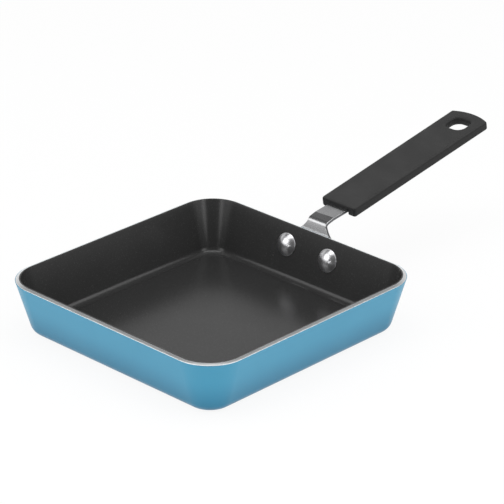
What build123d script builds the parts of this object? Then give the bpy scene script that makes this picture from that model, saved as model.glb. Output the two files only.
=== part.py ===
"""Small square pan for rolled omelettes, with a riveted strap handle and a moulded grip.

Millimetres, +Z up. The origin is the centre of the bare base, on the surface that the pan stands on,
and +Y runs from the pan's centre towards the handle. The pan is symmetric about the plane X = 0.

The pressed aluminium tray has four walls that lean outwards, a blue enamel coat outside and a black
nonstick coat inside. Both coats stop just short of the rim, and the base is milled bare. A steel strap
is riveted flat to one wall, bends over above the rim and runs on inside the grip, which is moulded
round it and fills its lock holes.
"""

import os
from math import atan2, cos, radians, sin, sqrt, tan

from build123d import *

# Tray
MOUTH_WIDTH = 125.0  # between the inner faces of the walls at the rim, along X
MOUTH_LENGTH = 126.7  # the same along Y
PAN_HEIGHT = 26.2
WALL = 2.4  # wall and floor, with both coats
WALL_LEAN = 15.9  # degrees from the vertical
RIM_CORNER_RADIUS = 17.8  # outer corner, seen from above
BASE_EDGE_RADIUS = 5.8  # outer rounding from wall to base
ENAMEL = 0.2
LINING = 0.1
RIM_BARE = 0.4  # height of bare metal above the coats
RIM_ROUND = 0.5
BASE_BORDER = 1.2  # enamel seen round the bare base, on the flat

# Rivets
RIVET_SPACING = 25.2
RIVET_DROP = 9.8  # height of the rim above the rivets
SHANK_RADIUS = 2.5
SHANK_CLEARANCE = 0.05
DOME_RADIUS = 5.3
DOME_HEIGHT = 2.7
DOME_EDGE = 0.4
TAIL_RADIUS = 4.1
TAIL_HEIGHT = 1.7
TAIL_EDGE = 0.5

# Strap and its riveted flange
STRAP = 1.5  # thickness of the steel
NECK_WIDTH = 11.0
NECK_RISE = 4.55  # height of the first bend's corner above the rim
RAMP_RUN = 4.9  # from the first bend's corner to the second's, along Y and up
RAMP_RISE = 1.3
LEAD_RUN = 8.25  # from the second bend's corner to the start of the tang, along Y and up
LEAD_RISE = 1.03
BEND_RADIUS = 1.2  # inside of the bends
HANDLE_SLOPE = 10.0  # degrees above the horizontal
FLANGE_WIDTH = 42.0
FLANGE_ABOVE = 6.1  # above and below the line of the rivets
FLANGE_BELOW = 7.0
FLANGE_CORNER = 4.5
FLANGE_FLAT = 0.05  # straight stretch between a corner and the shoulder
SHOULDER_SAG_SHARE = 0.13  # of the shoulder's chord, hollowed towards the rivets
TANG_LENGTH = 69.0
TANG_END_RADIUS = 4.0
LOCK_HOLE_RADIUS = 2.4
LOCK_HOLE_COUNT = 3
LOCK_HOLE_PITCH = 22.0
LOCK_HOLE_INSET = 8.0  # from the tang's end to the centre of the last hole

# Grip
GRIP_START = 0.7  # from the start of the tang to the grip's front
GRIP_LENGTH = 92.9  # front to the corners of the far end
GRIP_FRONT_WIDTH = 20.3
GRIP_END_WIDTH = 21.5
GRIP_COVER = 2.0  # thickness over the strap
GRIP_FRONT_DEPTH = 5.0
GRIP_END_DEPTH = 4.6
GRIP_EDGE_RADIUS = 1.3
GRIP_CORNER_RADIUS = 1.4
GRIP_HORN_RADIUS = 1.4
END_BULGE = 2.5
CHANNEL_WIDTH = 12.4  # open underside at the grip's front
CHANNEL_LENGTH = 8.0
HANG_HOLE_WIDTH = 9.8
HANG_HOLE_LENGTH = 9.4
HANG_HOLE_CORNER = 3.2
HANG_HOLE_INSET = 8.3  # from the corners of the far end to the hole's centre
HANG_HOLE_EDGE = 1.8

OVERRUN = 5.0  # how far cutting bodies reach past what they cut

LEAN_TAN = tan(radians(WALL_LEAN))
LEAN_COS = cos(radians(WALL_LEAN))
LEAN_SIN = sin(radians(WALL_LEAN))
SLOPE_COS = cos(radians(HANDLE_SLOPE))
SLOPE_SIN = sin(radians(HANDLE_SLOPE))

RIM_WIDTH = MOUTH_WIDTH + 2 * WALL / LEAN_COS
RIM_LENGTH = MOUTH_LENGTH + 2 * WALL / LEAN_COS


def on_wall(height):
    """Y of the outer skin of the handle's wall at a height above the base."""
    return RIM_LENGTH / 2 - (PAN_HEIGHT - height) * LEAN_TAN


# Frame of the wall: local x across, y up the wall, z out of it, from the middle of the rivets' line
wall_frame = Plane(
    origin=(0, on_wall(PAN_HEIGHT - RIVET_DROP), PAN_HEIGHT - RIVET_DROP),
    x_dir=(-1, 0, 0),
    z_dir=(0, LEAN_COS, -LEAN_SIN),
)

# The strap's top face between the wall's plane and the tang: a ramp and a flatter lead
BEND_CORNER = Vector(0, on_wall(PAN_HEIGHT + NECK_RISE), PAN_HEIGHT + NECK_RISE)
RAMP = Vector(0, RAMP_RUN, RAMP_RISE)
LEAD = Vector(0, LEAD_RUN, LEAD_RISE)

# Frame of the handle: local x across, y along the tang, z up from its top face
handle_frame = Plane(
    origin=BEND_CORNER + RAMP + LEAD,
    x_dir=(1, 0, 0),
    z_dir=(0, -SLOPE_SIN, SLOPE_COS),
)


def rim_outline(drop):
    """The pan's outline at the rim, moved inwards."""
    return RectangleRounded(
        RIM_WIDTH - 2 * drop, RIM_LENGTH - 2 * drop, RIM_CORNER_RADIUS - drop
    )


def tray_block(inset, top):
    """Solid inside the skin that lies an inset within the pan's outer skin, cut off level at a height."""
    drop = (PAN_HEIGHT - inset) * LEAN_TAN + inset / LEAN_COS
    foot = rim_outline(drop)
    block = extrude(Plane.XY.offset(inset) * foot, top - inset, taper=-WALL_LEAN)
    return fillet(block.edges().group_by(Axis.Z)[0], BASE_EDGE_RADIUS - inset)


def bare_base():
    """The part of the base that is milled down to bare metal, as deep as the enamel."""
    edge = BASE_EDGE_RADIUS * tan(radians(90 - WALL_LEAN) / 2) + BASE_BORDER
    drop = PAN_HEIGHT * LEAN_TAN + edge
    return extrude(rim_outline(drop), ENAMEL)


def rivet_places():
    """The two rivets' places in the wall's frame."""
    return [
        wall_frame * Location((side * RIVET_SPACING / 2, 0, 0)) for side in (-1, 1)
    ]


def rivet_holes():
    """Bodies that cut the rivets' holes through wall and flange."""
    length = WALL + STRAP + 2 * OVERRUN
    shaft = Cylinder(SHANK_RADIUS + SHANK_CLEARANCE, length)
    return [place * shaft for place in rivet_places()]


def pan_body():
    """Pressed aluminium tray, bare at the rim and on the base."""
    body = tray_block(ENAMEL, PAN_HEIGHT) - tray_block(
        WALL - LINING, PAN_HEIGHT + OVERRUN
    )
    body = fillet(body.faces().sort_by(Axis.Z)[-1].edges(), RIM_ROUND)
    return body + bare_base() - rivet_holes()


def exterior_enamel():
    """Blue coat on the walls and round the edge of the base."""
    coat = tray_block(0, PAN_HEIGHT - RIM_BARE) - tray_block(
        ENAMEL, PAN_HEIGHT + OVERRUN
    )
    return coat - bare_base() - rivet_holes()


def nonstick_lining():
    """Black coat on the floor and the inside of the walls."""
    coat = tray_block(WALL - LINING, PAN_HEIGHT - RIM_BARE) - tray_block(
        WALL, PAN_HEIGHT + OVERRUN
    )
    return coat - rivet_holes()


def cap_point(radius, height):
    """A point half way along the arc of a low dome, for a dome that stands on z = 0."""
    sphere = (radius**2 + height**2) / (2 * height)
    across = radius / 2
    return across, height - sphere + sqrt(sphere**2 - across**2)


def rivet(place):
    """Solid rivet: a dome inside the pan, a shank, and the tail that is upset against the flange."""
    dome_x, dome_z = cap_point(DOME_RADIUS, DOME_HEIGHT - DOME_EDGE)
    tail_x, tail_z = cap_point(TAIL_RADIUS, TAIL_HEIGHT - TAIL_EDGE)
    inside = -WALL
    with BuildSketch(Plane.XZ) as half:
        with BuildLine():
            Line((0, inside - DOME_HEIGHT), (0, STRAP + TAIL_HEIGHT))
            ThreePointArc(
                (0, STRAP + TAIL_HEIGHT),
                (tail_x, STRAP + TAIL_EDGE + tail_z),
                (TAIL_RADIUS, STRAP + TAIL_EDGE),
            )
            Polyline(
                (TAIL_RADIUS, STRAP + TAIL_EDGE),
                (TAIL_RADIUS, STRAP),
                (SHANK_RADIUS, STRAP),
                (SHANK_RADIUS, inside),
                (DOME_RADIUS, inside),
                (DOME_RADIUS, inside - DOME_EDGE),
            )
            ThreePointArc(
                (DOME_RADIUS, inside - DOME_EDGE),
                (dome_x, inside - DOME_EDGE - dome_z),
                (0, inside - DOME_HEIGHT),
            )
        make_face()
    return place * revolve(half.sketch, Axis.Z)


def strap_side():
    """Side view of the strap from the rivets' line over its bends to the tang's end, in the YZ plane."""
    start = handle_frame.origin
    outer = [
        wall_frame.origin,
        BEND_CORNER,
        BEND_CORNER + RAMP,
        start,
        start + handle_frame.y_dir * TANG_LENGTH,
    ]
    down = [Vector(0, way.Z, -way.Y).normalized() for way in (RAMP, LEAD)]
    normals = [wall_frame.z_dir, *down, -handle_frame.z_dir]
    pairs = zip([normals[0], *normals], [*normals, normals[-1]])
    inner = [
        point + (a + b) * (STRAP / (1 + a.dot(b)))
        for point, (a, b) in zip(outer, pairs)
    ]
    top = FilletPolyline(*outer, radius=BEND_RADIUS + STRAP)
    under = FilletPolyline(*inner, radius=BEND_RADIUS)
    ends = [Line(top @ side, under @ side) for side in (0, 1)]
    return make_face([*top.edges(), *under.edges(), *ends])


def flange_outline():
    """Outline of the riveted flange in the wall's frame, with shoulders that sweep up to the neck."""
    turn = radians(90 - WALL_LEAN) - atan2(RAMP_RISE, RAMP_RUN)
    bend_start = (BEND_RADIUS + STRAP) * tan(turn / 2)
    neck_top = (RIVET_DROP + NECK_RISE) / LEAN_COS - bend_start
    half = FLANGE_WIDTH / 2
    with BuildSketch() as outline:
        with BuildLine():
            for side in (-1, 1):
                shoulder = Vector(side * (half - FLANGE_CORNER), FLANGE_ABOVE)
                neck = Vector(side * NECK_WIDTH / 2, neck_top)
                chord = neck - shoulder
                hollow = Vector(-chord.Y, chord.X) * (side * SHOULDER_SAG_SHARE)
                ThreePointArc(shoulder, (shoulder + neck) / 2 + hollow, neck)
                Polyline(
                    (0, -FLANGE_BELOW),
                    (side * half, -FLANGE_BELOW),
                    (side * half, FLANGE_ABOVE),
                    shoulder,
                )
                Line(neck, (0, neck_top))
        make_face()
    by_x = outline.vertices().sort_by(Axis.X)
    return fillet([*by_x[:2], *by_x[-2:]], FLANGE_CORNER - FLANGE_FLAT)


def tang_outline():
    """Outline of the tang seen square to its top face, with a rounded end and lock holes."""
    middle = TANG_LENGTH / 2
    outline = RectangleRounded(NECK_WIDTH, TANG_LENGTH, TANG_END_RADIUS)
    outline = Location((0, middle, 0)) * outline
    outline += Location((0, middle / 2, 0)) * Rectangle(NECK_WIDTH, middle)
    for k in range(LOCK_HOLE_COUNT):
        along = TANG_LENGTH - LOCK_HOLE_INSET - k * LOCK_HOLE_PITCH
        outline -= Location((0, along, 0)) * Circle(LOCK_HOLE_RADIUS)
    return outline


def handle_bracket():
    """Stamped steel strap: flange, neck, bends and tang, with rivet holes and lock holes."""
    flange = extrude(wall_frame * flange_outline(), STRAP)
    strap = extrude(strap_side(), NECK_WIDTH / 2, dir=(1, 0, 0), both=True)
    tang_zone = handle_frame * extrude(
        Location((0, TANG_LENGTH / 2 + GRIP_START, 0))
        * Rectangle(2 * NECK_WIDTH, TANG_LENGTH),
        2 * STRAP,
        both=True,
    )
    tang = handle_frame * extrude(tang_outline(), -STRAP)
    return flange + (strap - tang_zone) + (tang & tang_zone) - rivet_holes()


def grip_plan():
    """The grip seen square to its top face, with a bulging far end."""
    front, end = GRIP_START, GRIP_START + GRIP_LENGTH
    with BuildSketch() as plan:
        with BuildLine():
            Line((-GRIP_FRONT_WIDTH / 2, front), (-GRIP_END_WIDTH / 2, end))
            ThreePointArc(
                (-GRIP_END_WIDTH / 2, end),
                (0, end + END_BULGE),
                (GRIP_END_WIDTH / 2, end),
            )
            Line((GRIP_END_WIDTH / 2, end), (GRIP_FRONT_WIDTH / 2, front))
            Line((GRIP_FRONT_WIDTH / 2, front), (-GRIP_FRONT_WIDTH / 2, front))
        make_face()
    by_y = plan.vertices().sort_by(Axis.Y)
    rounded = fillet(by_y[-2:], GRIP_CORNER_RADIUS)
    horns = rounded.vertices().sort_by(Axis.Y)[:2]
    return fillet(horns, GRIP_HORN_RADIUS)


def flat_faces(shape):
    """Top and underside of the grip in its own frame."""
    return [face for face in shape.faces() if abs(face.normal_at().Z) > sqrt(3) / 2]


def handle_grip(bracket):
    """Grip moulded round the tang, with an open channel under its front and a hole to hang the pan by."""
    front, end = GRIP_START, GRIP_START + GRIP_LENGTH
    plan = extrude(
        Plane.XY.offset(-GRIP_FRONT_DEPTH - OVERRUN) * grip_plan(),
        GRIP_FRONT_DEPTH + GRIP_COVER + 2 * OVERRUN,
    )
    side = make_face(
        Polyline(
            (0, front - OVERRUN, GRIP_COVER),
            (0, end + OVERRUN, GRIP_COVER),
            (0, end + OVERRUN, GRIP_COVER - GRIP_END_DEPTH),
            (0, front - OVERRUN, GRIP_COVER - GRIP_FRONT_DEPTH),
            close=True,
        )
    )
    grip = plan & extrude(side, GRIP_END_WIDTH, dir=(1, 0, 0), both=True)
    outer = [e for face in flat_faces(grip) for e in face.edges()]
    grip = fillet(outer, GRIP_EDGE_RADIUS)
    hole = RectangleRounded(HANG_HOLE_WIDTH, HANG_HOLE_LENGTH, HANG_HOLE_CORNER)
    hole = Location((0, end - HANG_HOLE_INSET, 0)) * hole
    grip -= extrude(hole, GRIP_FRONT_DEPTH + OVERRUN, both=True)
    inner = [e for face in flat_faces(grip) for e in face.inner_wires()[0].edges()]
    grip = fillet(inner, HANG_HOLE_EDGE)
    channel = Pos(0, front + CHANNEL_LENGTH / 2, -GRIP_FRONT_DEPTH / 2) * Box(
        CHANNEL_WIDTH, CHANNEL_LENGTH, GRIP_FRONT_DEPTH
    )
    return handle_frame * (grip - channel) - bracket


def main():
    """Builds each piece and writes it to its own file."""
    bracket = handle_bracket()
    places = rivet_places()
    pieces = {
        "pan_body": pan_body(),
        "exterior_enamel": exterior_enamel(),
        "nonstick_lining": nonstick_lining(),
        "handle_bracket": bracket,
        "handle_grip": handle_grip(bracket),
        "rivet_left": rivet(places[1]),
        "rivet_right": rivet(places[0]),
    }
    os.makedirs("parts", exist_ok=True)
    for name, shape in pieces.items():
        export_step(shape, f"parts/{name}.step")


main()
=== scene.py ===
"""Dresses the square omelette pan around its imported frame: meshes, finishes, studio, camera."""

import logging
import math
from collections.abc import Callable, Iterable, Sequence
from dataclasses import dataclass, field
from enum import Enum

import bmesh
import bpy
from mathutils import Matrix, Vector


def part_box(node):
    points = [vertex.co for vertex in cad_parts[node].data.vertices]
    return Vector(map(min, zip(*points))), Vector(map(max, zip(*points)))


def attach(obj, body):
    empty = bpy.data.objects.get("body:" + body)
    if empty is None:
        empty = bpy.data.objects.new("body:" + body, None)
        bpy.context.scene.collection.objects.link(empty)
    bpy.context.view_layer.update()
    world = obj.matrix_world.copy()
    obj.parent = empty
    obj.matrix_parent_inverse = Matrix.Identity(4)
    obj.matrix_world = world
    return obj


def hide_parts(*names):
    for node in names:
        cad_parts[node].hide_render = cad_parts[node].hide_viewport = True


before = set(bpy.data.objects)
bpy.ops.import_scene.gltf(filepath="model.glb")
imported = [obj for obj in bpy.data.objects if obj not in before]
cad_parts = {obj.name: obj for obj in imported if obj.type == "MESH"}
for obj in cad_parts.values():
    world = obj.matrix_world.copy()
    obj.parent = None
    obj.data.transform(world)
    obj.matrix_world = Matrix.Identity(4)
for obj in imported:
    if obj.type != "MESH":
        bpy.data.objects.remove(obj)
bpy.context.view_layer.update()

LOG = logging.getLogger("pan")
MM = 0.001
BODY = "root"
SHEARED = "sheared"
TOUCHING = 0.001 * MM

Point = tuple[float, float]
Value = "float | Sequence[float] | bpy.types.NodeSocket | Signal"


class Slot(Enum):
    """Material slots of the record."""

    ALUMINIUM = "bare_aluminium"
    ENAMEL = "blue_enamel"
    LINING = "nonstick"
    STEEL = "bracket_steel"
    RIVET = "rivet_aluminium"
    GRIP = "grip_black"


def srgb(red: int, green: int, blue: int) -> tuple[float, float, float, float]:
    """Turns a screen colour into the linear colour that shaders take.

    Args:
        red: Red, 0 to 255.
        green: Green, 0 to 255.
        blue: Blue, 0 to 255.

    Returns:
        Linear red, green, blue and an alpha of 1.
    """

    def linear(level: int) -> float:
        share = level / 255
        return share / 12.92 if share <= 0.04045 else ((share + 0.055) / 1.055) ** 2.4

    return linear(red), linear(green), linear(blue), 1.0


# Shader graphs


class Signal:
    """A number that changes over a surface, for use in Python expressions."""

    def __init__(self, graph: "Graph", socket: bpy.types.NodeSocket) -> None:
        """Wraps an output socket of a graph."""
        self.graph = graph
        self.socket = socket

    def __add__(self, other: Value) -> "Signal":
        """Adds a number or a signal."""
        return self.graph.math("ADD", self, other)

    __radd__ = __add__

    def __sub__(self, other: Value) -> "Signal":
        """Takes a number or a signal away."""
        return self.graph.math("SUBTRACT", self, other)

    def __rsub__(self, other: Value) -> "Signal":
        """Takes this signal away from a number."""
        return self.graph.math("SUBTRACT", other, self)

    def __mul__(self, other: Value) -> "Signal":
        """Multiplies by a number or a signal."""
        return self.graph.math("MULTIPLY", self, other)

    __rmul__ = __mul__

    def wave(self) -> "Signal":
        """The signal's sine."""
        return self.graph.math("SINE", self)

    def step(self, low: float, high: float) -> "Signal":
        """Rises smoothly from 0 to 1 while the signal goes from low to high.

        Args:
            low: Where the rise starts.
            high: Where it ends.

        Returns:
            The smooth step.
        """
        node = self.graph.node(
            "ShaderNodeMapRange",
            {"interpolation_type": "SMOOTHSTEP"},
            {"Value": self, "From Min": low, "From Max": high},
        )
        return Signal(self.graph, node.outputs["Result"])


class Graph:
    """A node tree that is filled one node at a time."""

    def __init__(self, tree: bpy.types.NodeTree) -> None:
        """Starts from an empty tree."""
        self.tree = tree
        tree.nodes.clear()

    def node(
        self, kind: str, settings: dict | None = None, inputs: dict | None = None
    ) -> bpy.types.Node:
        """Makes a node.

        Args:
            kind: Blender's name of the node type.
            settings: The node's own settings, which are set first.
            inputs: Values or links of its sockets, by name or by number.

        Returns:
            The node.
        """
        node = self.tree.nodes.new(kind)
        for name, value in (settings or {}).items():
            setattr(node, name, value)
        for name, value in (inputs or {}).items():
            self.feed(node.inputs[name], value)
        return node

    def feed(self, socket: bpy.types.NodeSocket, value: Value) -> None:
        """Links a socket to another one, or sets its value.

        Args:
            socket: The input to feed.
            value: A signal, an output socket or a plain value.
        """
        if isinstance(value, Signal):
            value = value.socket
        if isinstance(value, bpy.types.NodeSocket):
            self.tree.links.new(value, socket)
        else:
            socket.default_value = value

    def math(self, operation: str, *values: Value) -> Signal:
        """Works out a Math node.

        Args:
            operation: The node's operation.
            values: Its inputs, in order.

        Returns:
            Its result.
        """
        node = self.node(
            "ShaderNodeMath", {"operation": operation}, dict(enumerate(values))
        )
        return Signal(self, node.outputs[0])


class Surface(Graph):
    """A material's graph, with the textures and the shader that the finishes share."""

    def __init__(self, name: str) -> None:
        """Makes a material with an empty graph."""
        self.material = bpy.data.materials.new(name)
        self.material.use_nodes = True
        super().__init__(self.material.node_tree)
        self.place = self.node("ShaderNodeTexCoord").outputs["Object"]

    def axes(self) -> tuple[Signal, Signal, Signal]:
        """The place on the object, in metres, as three signals."""
        split = self.node("ShaderNodeSeparateXYZ", inputs={0: self.place})
        x, y, z = (Signal(self, socket) for socket in split.outputs)
        return x, y, z

    def stretched(self, scale: Sequence[float]) -> bpy.types.NodeSocket:
        """Coordinates that are scaled by a factor along each axis."""
        node = self.node("ShaderNodeMapping", inputs={"Vector": self.place, "Scale": scale})
        return node.outputs[0]

    def noise(
        self,
        grain: float,
        detail: float = 2.0,
        vector: bpy.types.NodeSocket | None = None,
    ) -> Signal:
        """Soft random pattern from 0 to 1.

        Args:
            grain: Size of its features, in metres, or in the vector's own units.
            detail: Number of finer layers.
            vector: Coordinates, or the object's own if None.

        Returns:
            The pattern.
        """
        node = self.node(
            "ShaderNodeTexNoise",
            inputs={"Vector": vector or self.place, "Scale": 1 / grain, "Detail": detail},
        )
        return Signal(self, node.outputs[0])

    def upward(self) -> Signal:
        """How far the surface faces up, from -1 to 1."""
        normal = self.node("ShaderNodeTexCoord").outputs["Normal"]
        split = self.node("ShaderNodeSeparateXYZ", inputs={0: normal})
        return Signal(self, split.outputs["Z"])

    def mark(self, name: str) -> Signal:
        """The mesh's own attribute of that name, from 0 to 1."""
        node = self.node("ShaderNodeAttribute", {"attribute_name": name})
        return Signal(self, node.outputs["Fac"])

    def blend(self, share: Value, first: Value, second: Value) -> bpy.types.NodeSocket:
        """Mixes two colours.

        Args:
            share: How much of the second there is.
            first: The first colour.
            second: The second colour.

        Returns:
            The mixed colour.
        """
        node = self.node("ShaderNodeMix", {"data_type": "RGBA"})
        for socket in node.inputs:
            if socket.identifier == "Factor_Float":
                self.feed(socket, share)
            elif socket.identifier == "A_Color":
                self.feed(socket, first)
            elif socket.identifier == "B_Color":
                self.feed(socket, second)
        return next(s for s in node.outputs if s.identifier == "Result_Color")

    def relief(self, height: Signal, depth: float) -> bpy.types.NodeSocket:
        """Normals of a surface with a fine relief.

        Args:
            height: The relief, from 0 to 1.
            depth: Its depth, in metres.

        Returns:
            The normal output.
        """
        node = self.node(
            "ShaderNodeBump", inputs={"Height": height, "Distance": depth, "Strength": 1.0}
        )
        return node.outputs[0]

    def shade(self, **inputs: Value) -> bpy.types.Material:
        """Ends the graph in a Principled shader.

        Args:
            inputs: The shader's sockets, with underscores for spaces.

        Returns:
            The material.
        """
        named = {name.replace("_", " "): value for name, value in inputs.items()}
        shader = self.node("ShaderNodeBsdfPrincipled", inputs=named)
        self.node("ShaderNodeOutputMaterial", inputs={"Surface": shader.outputs[0]})
        return self.material


# Finishes


@dataclass(frozen=True)
class EnamelFinish:
    """Satin blue enamel with a faint orange peel; painted shade makes it a little darker towards
    the base.
    """

    colour: tuple = srgb(66, 148, 180)
    # Darker blue that paints the shade near the base
    deep: tuple = srgb(34, 110, 143)
    foot: float = 18.0 * MM
    peel: float = 1.1 * MM
    peel_depth: float = 0.012 * MM
    cloud: float = 30 * MM
    painted_shade_share: float = 0.68
    cloud_share: float = 0.22
    roughness: float = 0.34
    gloss: float = 0.35

    def material(self) -> bpy.types.Material:
        """Builds the material."""
        surface = Surface("blue_enamel")
        _, _, z = surface.axes()
        cloud = surface.noise(self.cloud, 3)
        # Painted shade: below the foot height the colour turns towards the deep blue; the cloud
        # adds random tone
        low = 1 - z.step(0, self.foot)
        share = low * self.painted_shade_share + (cloud - 0.5) * self.cloud_share + 0.05
        peel = surface.noise(self.peel, 1)
        return surface.shade(
            Base_Color=surface.blend(share, self.colour, self.deep),
            Roughness=self.roughness + (cloud - 0.5) * 0.1,
            Specular_IOR_Level=self.gloss,
            Normal=surface.relief(peel, self.peel_depth),
        )


@dataclass(frozen=True)
class LiningFinish:
    """Sprayed black nonstick: satin, with a fine fleck and a soft spray texture."""

    colour: tuple = srgb(48, 48, 48)
    fleck: tuple = srgb(62, 62, 62)
    spray: float = 0.5 * MM
    spray_depth: float = 0.008 * MM
    cloud: float = 22 * MM
    roughness: float = 0.24

    def material(self) -> bpy.types.Material:
        """Builds the material."""
        surface = Surface("nonstick")
        spray = surface.noise(self.spray, 2)
        cloud = surface.noise(self.cloud, 2)
        return surface.shade(
            Base_Color=surface.blend(spray.step(0.55, 0.75), self.colour, self.fleck),
            Roughness=self.roughness + (cloud - 0.5) * 0.08 + (spray - 0.5) * 0.06,
            Normal=surface.relief(spray, self.spray_depth),
        )


@dataclass(frozen=True)
class AluminiumFinish:
    """Bare aluminium, turned in fine rings on the base and polished along the rim."""

    colour: tuple = srgb(248, 250, 251)
    dull: tuple = srgb(226, 228, 231)
    ring: float = 0.7 * MM
    ring_depth: float = 0.006 * MM
    base: float = 1.0 * MM
    scuff: float = 9 * MM
    fine: float = 0.25 * MM
    fine_share: float = 0.4
    roughness: float = 0.34

    def material(self) -> bpy.types.Material:
        """Builds the material."""
        surface = Surface("bare_aluminium")
        x, y, z = surface.axes()
        radius = surface.math("SQRT", x * x + y * y)
        rings = (radius * (2 * math.pi / self.ring)).wave() * 0.5 + 0.5
        on_base = 1 - z.step(0, self.base)
        scuff = surface.noise(self.scuff, 4)
        fine = surface.noise(self.fine, 2)
        height = rings * on_base + fine * self.fine_share * (1 - on_base)
        return surface.shade(
            Base_Color=surface.blend(scuff.step(0.4, 0.8) * on_base, self.colour, self.dull),
            Metallic=1.0,
            Roughness=self.roughness + (scuff - 0.5) * 0.08 + on_base * 0.04,
            Normal=surface.relief(height, self.ring_depth),
        )


@dataclass(frozen=True)
class StrapFinish:
    """Stamped steel, brushed along the strap; its sheared edges are rougher and darker, the
    darkness partly painted shade.
    """

    colour: tuple = srgb(210, 210, 211)
    dull: tuple = srgb(184, 185, 187)
    # Sheared edge colour: dull steel, darkened further as painted shade for the dark surroundings
    # the edges reflect
    sheared_edge_and_shade: tuple = srgb(112, 112, 114)
    brush: tuple = (0.16, 9.0, 9.0)
    brush_depth: float = 0.004 * MM
    cloud: float = 6 * MM
    roughness: float = 0.19
    torn_roughness: float = 0.25

    def material(self) -> bpy.types.Material:
        """Builds the material."""
        surface = Surface("bracket_steel")
        lengthwise = tuple(1 / (share * MM) for share in self.brush)
        grain = surface.noise(1.0, 3, surface.stretched(lengthwise))
        cloud = surface.noise(self.cloud, 2)
        # The sheared edges take the darker colour: partly real dull steel, partly painted shade
        sheared = surface.mark(SHEARED)
        brushed = surface.blend(grain * 0.6 + cloud * 0.3, self.colour, self.dull)
        return surface.shade(
            Base_Color=surface.blend(sheared, brushed, self.sheared_edge_and_shade),
            Metallic=1.0,
            Roughness=self.roughness
            + grain * 0.1
            + (cloud - 0.5) * 0.05
            + sheared * self.torn_roughness,
            Normal=surface.relief(grain, self.brush_depth),
        )


@dataclass(frozen=True)
class RivetFinish:
    """Polished aluminium with faint tooling marks."""

    colour: tuple = srgb(240, 240, 242)
    dull: tuple = srgb(214, 215, 218)
    mark: float = 0.8 * MM
    mark_depth: float = 0.003 * MM
    roughness: float = 0.26

    def material(self) -> bpy.types.Material:
        """Builds the material."""
        surface = Surface("rivet_aluminium")
        mark = surface.noise(self.mark, 4)
        return surface.shade(
            Base_Color=surface.blend(mark.step(0.5, 0.8), self.colour, self.dull),
            Metallic=1.0,
            Roughness=self.roughness + mark * 0.08,
            Normal=surface.relief(mark, self.mark_depth),
        )


@dataclass(frozen=True)
class GripFinish:
    """Matte black moulded plastic with a fine grain; painted shade makes faces turned away from the
    top darker than the top face.
    """

    colour: tuple = srgb(54, 54, 54)
    worn: tuple = srgb(61, 61, 61)
    # Darker colour painted on faces that turn away from the top, as shade
    edge: tuple = srgb(36, 36, 36)
    grain: float = 0.32 * MM
    grain_depth: float = 0.02 * MM
    cloud: float = 14 * MM
    painted_shade_below: float = 0.35
    painted_light_above: float = 0.85
    roughness: float = 0.55
    gloss: float = 0.2

    def material(self) -> bpy.types.Material:
        """Builds the material."""
        surface = Surface("grip_black")
        grain = surface.noise(self.grain, 2)
        cloud = surface.noise(self.cloud, 3)
        top = surface.blend(cloud.step(0.35, 0.8), self.colour, self.worn)
        # Painted shade: faces that turn from the top take the darker edge colour, the top face
        # keeps the lighter one
        upward = surface.upward().step(self.painted_shade_below, self.painted_light_above)
        return surface.shade(
            Base_Color=surface.blend(upward, self.edge, top),
            Roughness=self.roughness + (grain - 0.5) * 0.12 + (cloud - 0.5) * 0.06,
            Specular_IOR_Level=self.gloss,
            Normal=surface.relief(grain, self.grain_depth),
        )


# Mesh helpers


def swing(centre: Vector, start: Vector, end: Vector, steps: int) -> list[Point]:
    """Points of an arc, both ends included.

    Args:
        centre: The arc's centre.
        start: Way from the centre to its first point.
        end: Way from the centre to its last point.
        steps: Number of its chords.

    Returns:
        The points in order.
    """
    sweep = math.atan2(start.x * end.y - start.y * end.x, start.dot(end))
    arc = []
    for n in range(steps + 1):
        cos, sin = math.cos(sweep * n / steps), math.sin(sweep * n / steps)
        spot = centre + Vector((start.x * cos - start.y * sin, start.x * sin + start.y * cos))
        arc.append((spot.x, spot.y))
    return arc


def rounded_path(
    corners: Sequence[tuple[float, float, float]], steps: int, closed: bool = False
) -> list[Point]:
    """Rounds the corners of a flat path.

    Args:
        corners: Points as first coordinate, second coordinate and corner radius.
        steps: Number of chords of each rounded corner.
        closed: Whether the last point joins the first.

    Returns:
        The points of the rounded path.
    """
    count = len(corners)
    path: list[Point] = []
    for k, (px, py, radius) in enumerate(corners):
        here = Vector((px, py))
        ends = not closed and k in (0, count - 1)
        if ends or radius <= 0:
            path.append((px, py))
            continue
        back = (Vector(corners[k - 1][:2]) - here).normalized()
        ahead = (Vector(corners[(k + 1) % count][:2]) - here).normalized()
        half = back.angle(ahead) / 2
        centre = here + (back + ahead).normalized() * (radius / math.sin(half))
        start = here + back * (radius / math.tan(half)) - centre
        end = here + ahead * (radius / math.tan(half)) - centre
        path += swing(centre, start, end, steps)
    return path


def loft(name: str, rings: Sequence[Sequence[Sequence[float]]]) -> bpy.types.Object:
    """Skins closed rings of equal length and closes both ends.

    Args:
        name: The piece's name.
        rings: Rings of points, in metres, in order along the piece.

    Returns:
        The closed piece, with its faces outwards.
    """
    mesh = bpy.data.meshes.new(name)
    work = bmesh.new()
    loops = [[work.verts.new(spot) for spot in ring] for ring in rings]
    size = len(rings[0])
    for first, second in zip(loops, loops[1:]):
        for n in range(size):
            m = (n + 1) % size
            work.faces.new((first[n], first[m], second[m], second[n]))
    work.faces.new(loops[0])
    work.faces.new(loops[-1])
    bmesh.ops.recalc_face_normals(work, faces=work.faces)
    work.to_mesh(mesh)
    work.free()
    return link(name, mesh)


def link(name: str, mesh: bpy.types.Mesh) -> bpy.types.Object:
    """Puts a mesh into the scene as an object at the origin.

    Args:
        name: The object's name.
        mesh: Its mesh.

    Returns:
        The object.
    """
    piece = bpy.data.objects.new(name, mesh)
    bpy.context.scene.collection.objects.link(piece)
    return piece


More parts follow.
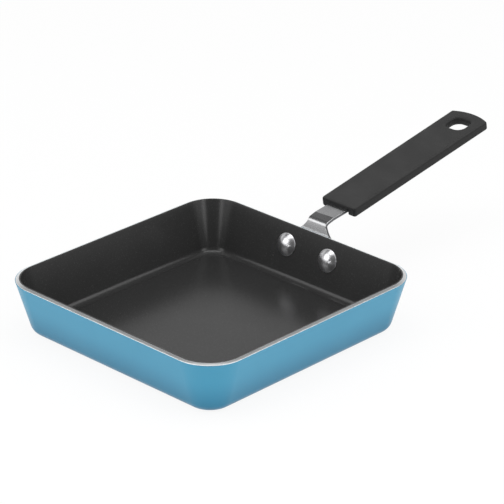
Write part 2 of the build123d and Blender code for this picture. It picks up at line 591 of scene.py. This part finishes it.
def smooth(piece: bpy.types.Object, sharp: float = math.radians(38)) -> None:
    """Shades a mesh smooth between its sharp edges.

    Args:
        piece: The object.
        sharp: Angle from which an edge stays sharp.
    """
    work = bmesh.new()
    work.from_mesh(piece.data)
    for face in work.faces:
        face.smooth = True
    for edge in work.edges:
        edge.smooth = len(edge.link_faces) == 2 and edge.calc_face_angle(0) < sharp
    work.to_mesh(piece.data)
    work.free()
    weighted = piece.modifiers.new("even_shading", "WEIGHTED_NORMAL")
    weighted.keep_sharp = True


def close_openings(piece: bpy.types.Object) -> None:
    """Closes the open loops of a swept shell with fans, and turns its faces outwards.

    Args:
        piece: The object.
    """
    work = bmesh.new()
    work.from_mesh(piece.data)
    bmesh.ops.remove_doubles(work, verts=work.verts, dist=TOUCHING)
    open_edges = [edge for edge in work.edges if edge.is_boundary]
    if open_edges:
        caps = bmesh.ops.edgeloop_fill(work, edges=open_edges)["faces"]
        bmesh.ops.poke(work, faces=caps)
    bmesh.ops.recalc_face_normals(work, faces=work.faces)
    work.to_mesh(piece.data)
    work.free()


def settle(piece: bpy.types.Object, nodes: Iterable[str]) -> None:
    """Seats a finished piece on its body and says what it stands for.

    Args:
        piece: The object.
        nodes: The nodes that it replaces.
    """
    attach(piece, BODY)
    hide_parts(*nodes)
    LOG.info("%s: %d faces, stands for %s", piece.name, len(piece.data.polygons), list(nodes))


class GeometryGraph(Graph):
    """A Geometry Nodes tree with named inputs, run once and turned into a plain mesh."""

    def __init__(self, name: str) -> None:
        """Makes an empty tree with a geometry output and a group input."""
        super().__init__(bpy.data.node_groups.new(name, "GeometryNodeTree"))
        self.tree.interface.new_socket(
            name="Geometry", in_out="OUTPUT", socket_type="NodeSocketGeometry"
        )
        self.names: dict[str, str] = {}

    def inlets(self, **kinds: str) -> dict[str, bpy.types.NodeSocket]:
        """Adds named inputs.

        Args:
            kinds: Socket type of each input, such as Float or Material.

        Returns:
            The group input's sockets by name.
        """
        for name, kind in kinds.items():
            socket = self.tree.interface.new_socket(
                name=name, in_out="INPUT", socket_type=f"NodeSocket{kind}"
            )
            self.names[name] = socket.identifier
        source = self.node("NodeGroupInput")
        return {name: source.outputs[name] for name in kinds}

    def end(self, geometry: bpy.types.NodeSocket, finish: bpy.types.NodeSocket) -> None:
        """Realizes the instances, gives the geometry its material and ends the tree.

        Args:
            geometry: What the tree made.
            finish: The material input.
        """
        real = self.node("GeometryNodeRealizeInstances", inputs={0: geometry})
        shaded = self.node(
            "GeometryNodeSetMaterial",
            inputs={"Geometry": real.outputs[0], "Material": finish},
        )
        self.node("NodeGroupOutput", inputs={0: shaded.outputs[0]})

    def make(self, name: str, **values: object) -> bpy.types.Object:
        """Runs the tree with given inputs.

        Args:
            name: The new piece's name.
            values: Inputs of the tree by name.

        Returns:
            A piece with a plain mesh and no modifier.
        """
        piece = link(name, bpy.data.meshes.new(name))
        modifier = piece.modifiers.new(name, "NODES")
        modifier.node_group = self.tree
        for key, value in values.items():
            modifier[self.names[key]] = value
        evaluated = piece.evaluated_get(bpy.context.evaluated_depsgraph_get())
        mesh = bpy.data.meshes.new_from_object(evaluated)
        piece.modifiers.clear()
        piece.data = mesh
        mesh.name = name
        return piece


def guide(name: str, points: Sequence[Point], closed: bool = False) -> bpy.types.Object:
    """A helper curve in the XY plane, for a tree to read.

    Args:
        name: The curve's name.
        points: Its points, in metres.
        closed: Whether it closes on itself.

    Returns:
        The curve's object.
    """
    curve = bpy.data.curves.new(name, "CURVE")
    spline = curve.splines.new("POLY")
    spline.points.add(len(points) - 1)
    for target, (x, y) in zip(spline.points, points):
        target.co = (x, y, 0, 1)
    spline.use_cyclic_u = closed
    return link(name, curve)


def rays(graph: Graph) -> tuple[Signal, Signal, Signal]:
    """Whether a ray comes from the camera, a mirror or a clear surface, 0 or 1 each."""
    path = graph.node("ShaderNodeLightPath")
    kinds = ("Is Camera Ray", "Is Glossy Ray", "Is Transmission Ray")
    seen, mirrored, through = (Signal(graph, path.outputs[kind]) for kind in kinds)
    return seen, mirrored, through


def drop_guides(*guides: bpy.types.Object) -> None:
    """Removes helper curves or meshes once their tree has run."""
    for helper in guides:
        bpy.data.objects.remove(helper)


# The tray


@dataclass
class PressedTray:
    """Square tray with leaning walls: bare aluminium, blue enamel outside and black lining inside.

    Lengths are in metres. A depth is measured square into the wall from the enamel's outer skin.
    """

    lean: float = math.radians(15.9)
    rim_corner: float = 17.8 * MM
    base_edge: float = 5.8 * MM
    wall: float = 2.4 * MM
    enamel: float = 0.2 * MM
    lining: float = 0.1 * MM
    rim_bare: float = 0.1 * MM
    rim_fall: float = 0.68 * MM
    rim_lap: float = 0.55 * MM
    rim_round: float = 0.3 * MM
    coat_round: float = 0.06 * MM
    border: float = 1.2 * MM
    support: float = 1.5 * MM
    corner_steps: int = 22
    edge_steps: int = 16
    height: float = field(init=False)
    width: float = field(init=False)
    length: float = field(init=False)

    def __post_init__(self) -> None:
        """Reads the overall sizes from the frame."""
        self.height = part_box("pan_body")[1].z
        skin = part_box("exterior_enamel")[1]
        missing = (self.height - skin.z) * math.tan(self.lean)
        self.width = 2 * (skin.x + missing)
        self.length = 2 * (skin.y + missing)

    def skin(self, depth: float, height: float) -> Point:
        """A point of the wall.

        Args:
            depth: Depth into the wall.
            height: Height above the base.

        Returns:
            How far outside the rim's outline it lies, and its height.
        """
        inwards = (self.height - height) * math.tan(self.lean) + depth / math.cos(self.lean)
        return -inwards, height

    def flat_edge(self) -> float:
        """Where the flat of base and floor ends, outside the rim's outline."""
        rise = self.height - self.base_edge
        return -(rise * math.tan(self.lean) + self.base_edge / math.cos(self.lean))

    def bend(self, depth: float) -> tuple[float, float, float]:
        """Corner between wall and base at a depth, with the radius that rounds it."""
        x, _ = self.skin(depth, depth)
        return x, depth, self.base_edge - depth

    def core_section(self) -> list[Point]:
        """Section of the bare tray from the middle of the base over the rim to the floor."""
        bare = self.flat_edge() - self.border
        inside = self.wall - self.lining
        outer = self.skin(self.enamel, self.height - self.rim_fall)
        under = self.height - self.lining
        lap, _ = self.skin(self.wall - self.rim_lap, self.height)
        return rounded_path(
            [
                (bare - self.support, 0, 0),
                (bare, 0, 0),
                (bare, self.enamel, 0),
                self.bend(self.enamel),
                (*outer, self.rim_round),
                (lap, under, 0),
                (*self.skin(inside, under), self.rim_round - self.lining),
                self.bend(inside),
                (self.flat_edge() - self.support, inside, 0),
            ],
            self.edge_steps,
        )

    def enamel_section(self) -> list[Point]:
        """Closed section of the enamel."""
        bare = self.flat_edge() - self.border
        top = self.height - self.rim_fall - self.rim_bare
        return rounded_path(
            [
                (bare, 0, 0),
                self.bend(0),
                (*self.skin(0, top), self.coat_round),
                (*self.skin(self.enamel, top), 0),
                self.bend(self.enamel),
                (bare, self.enamel, 0),
            ],
            self.edge_steps,
            closed=True,
        )

    def lining_section(self) -> list[Point]:
        """Section of the lining, from its back under the floor over the rim and down its face."""
        back = self.wall - self.lining
        under = self.height - self.lining
        lap, _ = self.skin(self.wall - self.rim_lap, self.height)
        floor = self.flat_edge() - self.support
        return rounded_path(
            [
                (floor, back, 0),
                self.bend(back),
                (*self.skin(back, under), self.rim_round - self.lining),
                (lap, under, 0),
                (lap, self.height, self.coat_round),
                (*self.skin(self.wall, self.height), self.rim_round),
                self.bend(self.wall),
                (floor, self.wall, 0),
            ],
            self.edge_steps,
        )

    def sweep_tree(self) -> GeometryGraph:
        """Tree that carries a section round the rim's rounded outline."""
        graph = GeometryGraph("sweep_round_the_rim")
        inlet = graph.inlets(
            Width="Float",
            Length="Float",
            Corner="Float",
            Steps="Int",
            Section="Object",
            Finish="Material",
        )
        outline = graph.node(
            "GeometryNodeCurvePrimitiveQuadrilateral",
            inputs={"Width": inlet["Width"], "Height": inlet["Length"]},
        )
        rounded = graph.node(
            "GeometryNodeFilletCurve",
            {"mode": "POLY"},
            {"Curve": outline.outputs[0], "Count": inlet["Steps"], "Radius": inlet["Corner"]},
        )
        section = graph.node("GeometryNodeObjectInfo", inputs={"Object": inlet["Section"]})
        swept = graph.node(
            "GeometryNodeCurveToMesh",
            inputs={"Curve": rounded.outputs[0], "Profile Curve": section.outputs["Geometry"]},
        )
        graph.end(swept.outputs[0], inlet["Finish"])
        return graph

    def build(self) -> list[bpy.types.Object]:
        """Builds and settles the tray and its two coats."""
        tree = self.sweep_tree()
        core, enamel, lining = self.core_section(), self.enamel_section(), self.lining_section()
        plan = (
            ("tray", core, False, AluminiumFinish(), Slot.ALUMINIUM, "pan_body"),
            ("enamel_coat", enamel, True, EnamelFinish(), Slot.ENAMEL, "exterior_enamel"),
            ("lining_coat", lining, False, LiningFinish(), Slot.LINING, "nonstick_lining"),
        )
        pieces = []
        for name, section, closed, finish, slot, node in plan:
            # A swept section's second axis points down
            line = guide(f"{name}_section", [(x, -z) for x, z in section], closed)
            piece = tree.make(
                name,
                Width=self.width,
                Length=self.length,
                Corner=self.rim_corner,
                Steps=self.corner_steps,
                Section=line,
                Finish=finish.material(),
            )
            drop_guides(line)
            close_openings(piece)
            smooth(piece)
            settle(piece, [node])
            pieces.append(piece)
        return pieces


# The rivets


@dataclass
class RivetPair:
    """Two solid rivets: domed head inside the pan, shank, and a tail upset on the flange."""

    tray: PressedTray
    spacing: float = 25.2 * MM
    drop: float = 9.8 * MM
    strap: float = 1.5 * MM
    shank: float = 2.5 * MM
    dome: float = 5.3 * MM
    dome_height: float = 2.7 * MM
    dome_edge: float = 0.4 * MM
    tail: float = 4.1 * MM
    tail_height: float = 1.7 * MM
    tail_edge: float = 0.5 * MM
    edge_round: float = 0.22 * MM
    cap_steps: int = 12
    edge_steps: int = 4
    around: int = 56

    def cap(self, radius: float, rise: float) -> list[Point]:
        """Arc of a low dome.

        Args:
            radius: Radius of its foot.
            rise: Its height.

        Returns:
            Points from near the top to the foot, as radius and height.
        """
        sphere = (radius**2 + rise**2) / (2 * rise)
        half = math.asin(radius / sphere)
        turns = [half * n / self.cap_steps for n in range(1, self.cap_steps + 1)]
        return [
            (sphere * math.sin(turn), sphere * math.cos(turn) - sphere + rise)
            for turn in turns
        ]

    def section(self) -> list[Point]:
        """Half section of a rivet, from the dome to the tail, as radius and height."""
        inner, outer = -self.tray.wall, self.strap
        dome = self.cap(self.dome - self.edge_round, self.dome_height - self.dome_edge)
        tail = self.cap(self.tail - self.edge_round, self.tail_height - self.tail_edge)
        body = rounded_path(
            [
                (dome[-1][0], inner - self.dome_edge, 0),
                (self.dome, inner - self.dome_edge, self.edge_round),
                (self.dome, inner, 0),
                (self.shank, inner, 0),
                (self.shank, outer, 0),
                (self.tail, outer, 0),
                (self.tail, outer + self.tail_edge, self.edge_round),
                (tail[-1][0], outer + self.tail_edge, 0),
            ],
            self.edge_steps,
        )
        head = [(r, inner - self.dome_edge - h) for r, h in dome[:-1]]
        foot = [(r, outer + self.tail_edge + h) for r, h in reversed(tail[:-1])]
        return [*head, *body, *foot]

    def turned(self) -> bpy.types.Object:
        """One rivet, turned about its axis, with closed poles."""
        work = bmesh.new()
        section = self.section()
        rings = []
        for radius, height in section:
            turns = (2 * math.pi * n / self.around for n in range(self.around))
            rings.append(
                [
                    work.verts.new((radius * math.cos(t), radius * math.sin(t), height))
                    for t in turns
                ]
            )
        for first, second in zip(rings, rings[1:]):
            for n in range(self.around):
                m = (n + 1) % self.around
                work.faces.new((first[n], first[m], second[m], second[n]))
        caps = [work.faces.new(rings[0]), work.faces.new(rings[-1])]
        poles = bmesh.ops.poke(work, faces=caps)["verts"]
        ends = (-self.tray.wall - self.dome_height, self.strap + self.tail_height)
        for pole, height in zip(sorted(poles, key=lambda v: v.co.z), ends):
            pole.co.z = height
        bmesh.ops.recalc_face_normals(work, faces=work.faces)
        mesh = bpy.data.meshes.new("rivet")
        work.to_mesh(mesh)
        work.free()
        return link("rivet", mesh)

    def pair_tree(self) -> GeometryGraph:
        """Tree that sets the rivets out on a level line and tips them square to the wall."""
        graph = GeometryGraph("rivets_on_the_wall")
        inlet = graph.inlets(
            Spacing="Float", Start="Vector", Tip="Vector", Rivet="Object", Finish="Material"
        )
        step = graph.node("ShaderNodeCombineXYZ", inputs={"X": inlet["Spacing"]})
        line = graph.node(
            "GeometryNodeMeshLine",
            inputs={"Count": 2, "Start Location": inlet["Start"], "Offset": step.outputs[0]},
        )
        rivet = graph.node("GeometryNodeObjectInfo", inputs={"Object": inlet["Rivet"]})
        placed = graph.node(
            "GeometryNodeInstanceOnPoints",
            inputs={
                "Points": line.outputs[0],
                "Instance": rivet.outputs["Geometry"],
                "Rotation": inlet["Tip"],
            },
        )
        graph.end(placed.outputs[0], inlet["Finish"])
        return graph

    def build(self) -> bpy.types.Object:
        """Builds and settles the pair."""
        rivet = self.turned()
        outside, height = self.tray.skin(0, self.tray.height - self.drop)
        start = (-self.spacing / 2, self.tray.length / 2 + outside, height)
        pair = self.pair_tree().make(
            "rivets",
            Spacing=self.spacing,
            Start=start,
            Tip=(-math.pi / 2 - self.tray.lean, 0, 0),
            Rivet=rivet,
            Finish=RivetFinish().material(),
        )
        drop_guides(rivet)
        smooth(pair)
        settle(pair, ["rivet_left", "rivet_right"])
        return pair


# The strap


@dataclass
class StampedStrap:
    """Steel strap: riveted flange, shoulders, neck, two bends and the tang, with broken edges."""

    tray: PressedTray
    thick: float = 1.5 * MM
    neck: float = 11.0 * MM
    rise: float = 4.55 * MM
    ramp: Point = (4.9 * MM, 1.3 * MM)
    lead: Point = (8.25 * MM, 1.03 * MM)
    bend: float = 2.7 * MM
    slope: float = math.radians(10)
    flange: float = 42.0 * MM
    above: float = 6.1 * MM
    below: float = 7.0 * MM
    corner: float = 4.45 * MM
    rivet_drop: float = 9.8 * MM
    hollow_share: float = 0.13
    tang: float = 69.0 * MM
    broken: float = 0.22 * MM
    edge_slack: float = 0.01 * MM
    steps: int = 10
    edge_steps: int = 3

    def wall_spot(self, up: float) -> Vector:
        """A point of the strap's front face on the wall, by its distance up the wall."""
        outside, height = self.tray.skin(0, self.tray.height - self.rivet_drop)
        spot = Vector((self.tray.length / 2 + outside, height))
        return spot + Vector((math.sin(self.tray.lean), math.cos(self.tray.lean))) * up

    def corners(self) -> list[Vector]:
        """Corners of the top face, as Y and Z: on the wall, past the ramp, past the lead, tip."""
        rise = self.rivet_drop + self.rise
        first = self.wall_spot(rise / math.cos(self.tray.lean))
        second = first + Vector(self.ramp)
        third = second + Vector(self.lead)
        along = Vector((math.cos(self.slope), math.sin(self.slope)))
        return [first, second, third, third + along * self.tang]

    def flange_outline(self) -> list[Point]:
        """Half of the flange's outline: distance up the wall and half width."""
        half, r = self.flange / 2, self.corner
        outline = []
        for n in range(self.steps + 1):
            turn = math.pi / 2 * n / self.steps
            reach = half - r + r * math.sin(turn)
            outline.append((-self.below + r * (1 - math.cos(turn)), reach))
        for n in range(self.steps + 1):
            turn = math.pi / 2 * n / self.steps
            reach = half - r + r * math.cos(turn)
            outline.append((self.above - r * (1 - math.sin(turn)), reach))
        return outline + self.shoulder()[1:]

    def shoulder(self) -> list[Point]:
        """Hollow arc from the flange's upper corner to the neck."""
        turn = math.pi / 2 - self.tray.lean - math.atan2(self.ramp[1], self.ramp[0])
        top = (self.rivet_drop + self.rise) / math.cos(self.tray.lean)
        low = Vector((self.above, self.flange / 2 - self.corner))
        high = Vector((top - self.bend * math.tan(turn / 2), self.neck / 2))
        chord = high - low
        sag = chord.length * self.hollow_share
        radius = chord.length**2 / (8 * sag) + sag / 2
        inwards = Vector((chord.y, -chord.x)).normalized()
        centre = (low + high) / 2 - inwards * (radius - sag)
        return swing(centre, low - centre, high - centre, self.steps)

    def stations(self) -> list[tuple[Vector, Vector, float]]:
        """Places along the strap: a front face point, the way to its back, and the half width."""
        out = Vector((math.cos(self.tray.lean), -math.sin(self.tray.lean)))
        places = [(self.wall_spot(up), out, reach) for up, reach in self.flange_outline()]
        bends = [(*corner, self.bend) for corner in self.corners()]
        path = rounded_path([(*places[-1][0], 0), *bends], self.steps)
        path = [Vector(spot) for spot in path]
        for n in range(1, len(path)):
            ahead = (path[min(n + 1, len(path) - 1)] - path[n - 1]).normalized()
            if (path[n] - path[n - 1]).length > TOUCHING:
                places.append((path[n], Vector((ahead.y, -ahead.x)), self.neck / 2))
        return places

    def ring(self, spot: Vector, back: Vector, reach: float) -> list[Vector]:
        """Cross-section of the strap with broken edges.

        Args:
            spot: A point of the front face, as Y and Z.
            back: Direction to the back face, as Y and Z.
            reach: Half width.

        Returns:
            The points of the section in space.
        """
        flat = rounded_path(
            [
                (-reach, 0, self.broken),
                (reach, 0, self.broken),
                (reach, self.thick, self.broken),
                (-reach, self.thick, self.broken),
            ],
            self.edge_steps,
            closed=True,
        )
        return [Vector((x, *(spot + back * t))) for x, t in flat]

    def build(self) -> bpy.types.Object:
        """Builds and settles the strap."""
        places = self.stations()
        rings = [self.ring(*place) for place in places]
        strap = loft("strap", rings)
        sheared = strap.data.attributes.new(SHEARED, "FLOAT", "POINT")
        reaches = [reach for (_, _, reach), ring in zip(places, rings) for _ in ring]
        for vertex, reach, mark in zip(strap.data.vertices, reaches, sheared.data):
            mark.value = float(abs(vertex.co.x) > reach - self.edge_slack)
        strap.data.materials.append(StrapFinish().material())
        smooth(strap)
        settle(strap, ["handle_bracket"])
        return strap


# Studio


@dataclass(frozen=True)
class Softbox:
    """A soft lamp that looks at the object from an azimuth and an elevation, in degrees."""

    name: str
    azimuth: float
    elevation: float
    wide: float
    deep: float
    power: float
    distance: float = 1.0
    mirrored: bool = True

    def hang(self, target: Vector) -> None:
        """Hangs the lamp.

        Args:
            target: What it looks at.
        """
        turn, rise = math.radians(self.azimuth), math.radians(self.elevation)
        back = Vector(
            (math.cos(turn) * math.cos(rise), math.sin(turn) * math.cos(rise), math.sin(rise))
        )
        level = Vector((-math.sin(turn), math.cos(turn), 0))
        axes = Matrix((level, back.cross(level), back)).transposed()
        data = bpy.data.lights.new(self.name, "AREA")
        data.shape = "RECTANGLE"
        data.size, data.size_y = self.wide, self.deep
        data.energy = self.power
        lamp = bpy.data.objects.new(self.name, data)
        lamp.location = target + back * self.distance
        lamp.rotation_euler = axes.to_euler()
        lamp.visible_camera = False
        lamp.visible_glossy = self.mirrored
        bpy.context.scene.collection.objects.link(lamp)


@dataclass(frozen=True)
class Studio:
    """Camera of the photograph, pale floor, soft lamps and surroundings."""

    azimuth: float = math.radians(44.189)
    elevation: float = math.radians(24.734)
    distance: float = 1173.88 * MM
    right: float = 17.643 * MM
    up: float = 33.876 * MM
    lens: float = 191.81
    sensor: float = 36.0
    sight: float = 20.0
    softboxes: tuple = (
        Softbox("overhead", -45.8, 88, 1.3, 0.5, 4.4),
        Softbox("left_side", -117, 32, 0.8, 0.65, 3.0),
        Softbox("right_side", 25.4, 32, 0.8, 0.65, 3.0),
        Softbox("left_strip", -79, 6, 0.2, 0.2, 0.36),
        Softbox("right_strip", -12.6, 6, 0.2, 0.2, 0.36),
        Softbox("front_fill", -45.8, 12, 1.2, 0.8, 1.8, 1.2, mirrored=False),
    )
    floor_size: float = 8.0
    target: tuple = (0.0, 0.02, 0.02)
    around: float = 0.6
    dim: float = 0.10
    horizon: float = 0.85
    horizon_sides: Point = (-0.9, -0.78)
    horizon_top: Point = (0.12, 0.3)
    backdrop: float = 1.1
    backdrop_fall: float = 0.9
    backdrop_sides: Point = (0.2, 0.6)
    backdrop_top: Point = (0.6, 0.66)
    floor_tone: tuple = srgb(248, 248, 248)
    floor_glow: float = 0.9

    def camera(self) -> None:
        """Sets the camera at the photograph's viewing angle."""
        cos_a, sin_a = math.cos(self.azimuth), math.sin(self.azimuth)
        cos_e, sin_e = math.cos(self.elevation), math.sin(self.elevation)
        back = Vector((sin_a * cos_e, -cos_a * cos_e, sin_e))
        right = Vector((cos_a, sin_a, 0))
        up = back.cross(right)
        data = bpy.data.cameras.new("camera")
        data.lens = self.lens
        data.sensor_width = self.sensor
        data.sensor_fit = "HORIZONTAL"
        data.clip_end = self.sight
        camera = bpy.data.objects.new("camera", data)
        bpy.context.scene.collection.objects.link(camera)
        camera.location = back * self.distance + right * self.right + up * self.up
        camera.rotation_euler = Matrix((right, up, back)).transposed().to_euler()
        bpy.context.scene.camera = camera

    def floor(self) -> None:
        """Lays the pale floor, which looks white and keeps the object's shadow."""
        bpy.ops.mesh.primitive_plane_add(size=self.floor_size)
        floor = bpy.context.object
        floor.name = "floor"
        surface = Surface("floor")
        seen, mirrored, through = rays(surface)
        paper = surface.node("ShaderNodeBsdfDiffuse", inputs={"Color": self.floor_tone})
        glow = surface.node("ShaderNodeEmission", inputs={"Strength": 1.0})
        mixed = surface.node(
            "ShaderNodeMixShader",
            inputs={
                0: (seen + mirrored + through) * self.floor_glow,
                1: paper.outputs[0],
                2: glow.outputs[0],
            },
        )
        surface.node("ShaderNodeOutputMaterial", inputs={"Surface": mixed.outputs[0]})
        floor.data.materials.append(surface.material)

    def world(self) -> None:
        """Lights the object evenly and gives reflections a room.

        The room has a white horizon, open towards the camera, a pale backdrop behind the object
        and a dim ceiling.
        """
        world = bpy.data.worlds.new("studio")
        world.use_nodes = True
        bpy.context.scene.world = world
        graph = Graph(world.node_tree)
        seen, mirrored, through = rays(graph)
        way = graph.node("ShaderNodeTexCoord").outputs["Generated"]
        split = graph.node("ShaderNodeSeparateXYZ", inputs={0: way})
        x, y, z = (Signal(graph, socket) for socket in split.outputs)
        behind = y * math.cos(self.azimuth) - x * math.sin(self.azimuth)
        low = 1 - z.step(*self.horizon_top)
        horizon = behind.step(*self.horizon_sides) * low * self.horizon
        pale = self.backdrop - z * self.backdrop_fall
        below = 1 - z.step(*self.backdrop_top)
        backdrop = behind.step(*self.backdrop_sides) * below * pale
        room = graph.math("MAXIMUM", horizon, backdrop) + self.dim
        level = self.around * (1 - mirrored) * (1 - seen) + mirrored * room + seen + through
        glow = graph.node("ShaderNodeBackground", inputs={"Strength": level})
        graph.node("ShaderNodeOutputWorld", inputs={"Surface": glow.outputs[0]})

    def build(self) -> None:
        """Builds the whole studio."""
        self.camera()
        for softbox in self.softboxes:
            softbox.hang(Vector(self.target))
        self.floor()
        self.world()
        bpy.context.scene.view_settings.view_transform = "Standard"


def dress(node: str, finish: Callable[[], bpy.types.Material], slot: Slot) -> None:
    """Gives a node of the frame its finish.

    Args:
        node: The node's name.
        finish: What makes its material.
        slot: The record's slot.
    """
    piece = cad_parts[node]
    piece.material_slots[0].material = finish()
    LOG.info("%s: dressed as %s", node, slot.value)


def main() -> None:
    logging.basicConfig(level=logging.INFO, format="%(message)s")
    tray = PressedTray()
    tray.build()
    RivetPair(tray).build()
    StampedStrap(tray).build()
    dress("handle_grip", GripFinish().material, Slot.GRIP)
    Studio().build()


if __name__ == "__main__":
    main()
